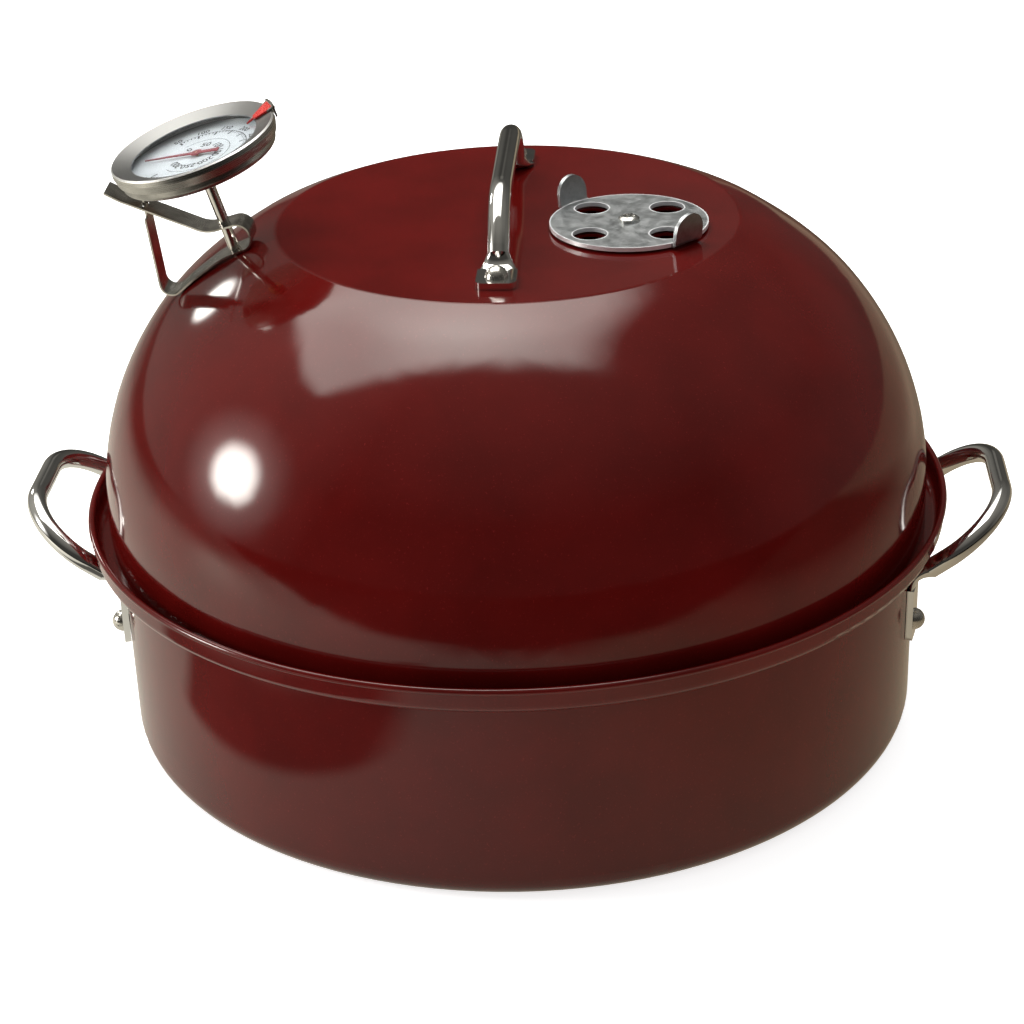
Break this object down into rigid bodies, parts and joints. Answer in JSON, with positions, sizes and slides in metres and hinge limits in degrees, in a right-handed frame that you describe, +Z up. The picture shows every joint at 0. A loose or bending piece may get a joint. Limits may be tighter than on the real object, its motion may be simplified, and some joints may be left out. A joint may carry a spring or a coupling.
{
  "type": "stovetop smoker",
  "caption": "Enamelled round smoker for the hob, with a domed lid, a turning vent, riveted bar handles, a food rack, a drip tray and a clip-on dial thermometer.",
  "frame": {"origin": "centre of the pan's underside, on the surface it stands on", "axes": "+Z up; +X through the right pan handle, with the vent on that side of the lid and the thermometer on the other; -Y towards the viewer; the lid's handle runs along Y"},
  "size_m": [0.452, 0.3938, 0.2959],
  "materials": {
    "burgundy_enamel": "gloss",
    "chrome_bar": "polished",
    "rivet_steel": "satin",
    "dark_enamel": "gloss",
    "chrome_wire": "polished",
    "vent_aluminium": "satin",
    "zinc_steel": "satin",
    "case_steel": "brushed",
    "bezel_steel": "polished",
    "window_glass": "clear",
    "gasket_rubber": "matt",
    "dial_white": "satin",
    "pointer_red": "satin",
    "shaft_brass": "satin",
    "coil_steel": "satin",
    "stem_steel": "polished",
    "marker_red": "gloss",
    "clip_steel": "polished"
  },
  "bodies": {
    "pan": {"pan_body": "burgundy_enamel", "pan_handle_left": "chrome_bar", "pan_handle_right": "chrome_bar", "pan_handle_rivets": "rivet_steel"},
    "tray": {"drip_tray": "dark_enamel"},
    "rack": {"rack_ring": "chrome_wire", "rack_bars": "chrome_wire", "rack_cross_rods": "chrome_wire"},
    "lid": {"lid_shell": "burgundy_enamel", "lid_handle": "chrome_bar", "lid_handle_rivets": "rivet_steel", "vent_screw": "zinc_steel", "vent_spacer": "vent_aluminium", "vent_lock_washer": "zinc_steel", "vent_nut": "zinc_steel"},
    "vent": {"vent_disc": "vent_aluminium"},
    "clip": {"thermometer_clip": "clip_steel"},
    "thermometer": {"thermometer_case": "case_steel", "thermometer_bezel": "bezel_steel", "thermometer_lens": "window_glass", "lens_gasket": "gasket_rubber", "dial_plate": "dial_white", "stem_bushing": "shaft_brass", "stem_tube": "stem_steel", "bimetal_coil": "coil_steel"},
    "pointer": {"dial_pointer": "pointer_red", "pointer_shaft": "shaft_brass"},
    "marker": {"set_marker": "marker_red"}
  },
  "joints": [
    {"name": "lid_lift", "type": "slide", "parent": "pan", "child": "lid", "axis": [0, 0, 1], "range_m": [0, 0.33]},
    {"name": "rack_lift", "type": "slide", "parent": "pan", "child": "rack", "axis": [0, 0, 1], "range_m": [0, 0.2]},
    {"name": "tray_lift", "type": "slide", "parent": "pan", "child": "tray", "axis": [0, 0, 1], "range_m": [0, 0.12]},
    {"name": "vent_turn", "type": "hinge", "parent": "lid", "child": "vent", "pos_m": [0.054, -0.013, 0.24], "axis": [0, 0, 1], "continuous": true},
    {"name": "clip_lift", "type": "slide", "parent": "lid", "child": "clip", "axis": [-0.2647, -0.0881, 0.9603], "range_m": [0, 0.11]},
    {"name": "thermometer_slide", "type": "slide", "parent": "clip", "child": "thermometer", "axis": [-0.2647, -0.0881, 0.9603], "range_m": [0, 0.095]},
    {"name": "pointer_turn", "type": "hinge", "parent": "thermometer", "child": "pointer", "pos_m": [-0.11915, -0.01802, 0.23038], "axis": [-0.2647, -0.0881, 0.9603], "range_deg": [-225, 45]},
    {"name": "marker_turn", "type": "hinge", "parent": "thermometer", "child": "marker", "pos_m": [-0.11915, -0.01802, 0.23038], "axis": [-0.2647, -0.0881, 0.9603], "continuous": true}
  ],
  "couplings": [
    {"joint": "rack_lift", "follows": "lid_lift", "ratio": 0.6},
    {"joint": "tray_lift", "follows": "lid_lift", "ratio": 0.35}
  ]
}
